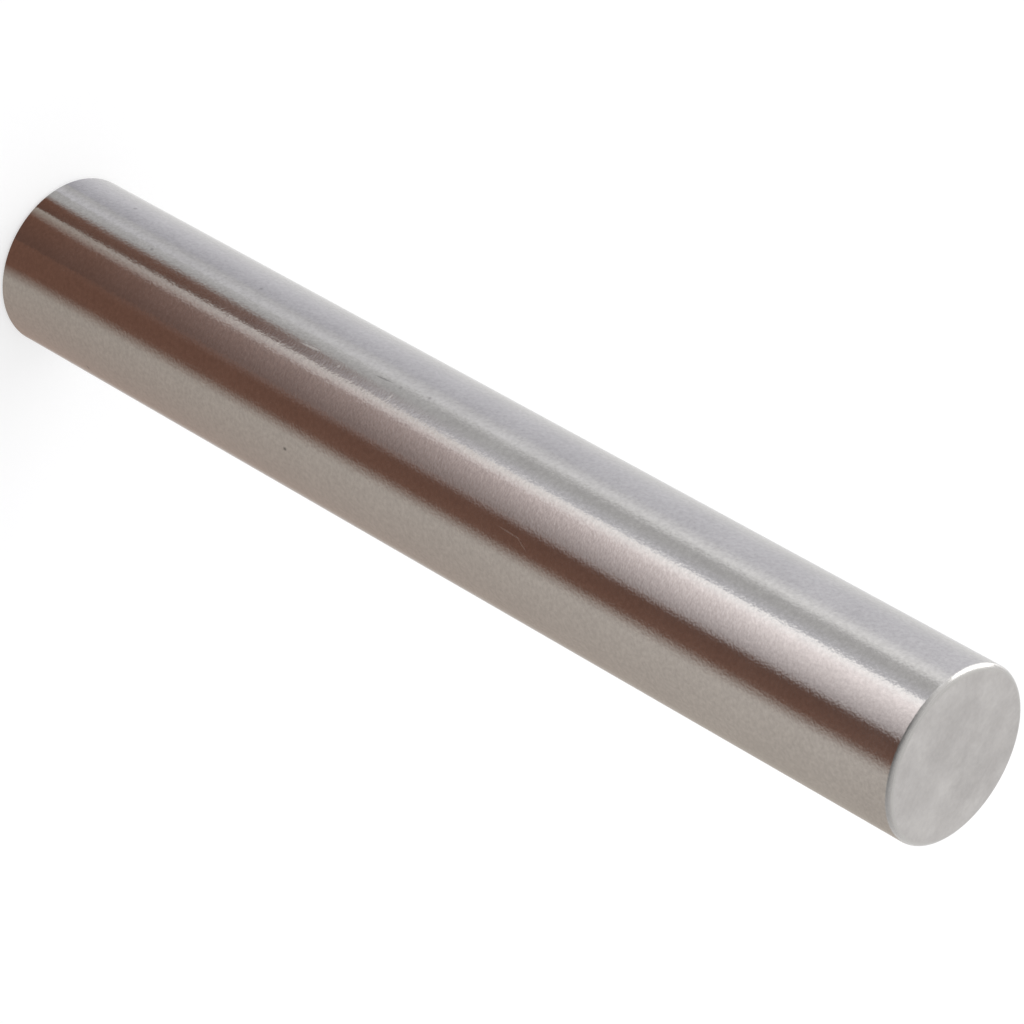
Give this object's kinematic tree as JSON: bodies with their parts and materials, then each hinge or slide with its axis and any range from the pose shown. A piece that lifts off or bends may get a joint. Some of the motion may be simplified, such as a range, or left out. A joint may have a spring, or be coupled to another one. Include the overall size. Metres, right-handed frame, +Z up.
{
  "type": "plug gauge",
  "caption": "Plain cylindrical plug gauge: a slim ground steel pin with flat, square-cut ends and finely rounded edges, used to check the size of a hole.",
  "frame": {"origin": "centre of the lower end face, on which the pin stands", "axes": "+Z up along the pin's axis, from the lower end face to the upper one; X and Y are any two directions across it, because the pin is round"},
  "size_m": [0.0076, 0.0076, 0.0508],
  "materials": {
    "ground_steel": "ground"
  },
  "bodies": {
    "root": {"gauge_pin": "ground_steel"}
  },
  "joints": []
}
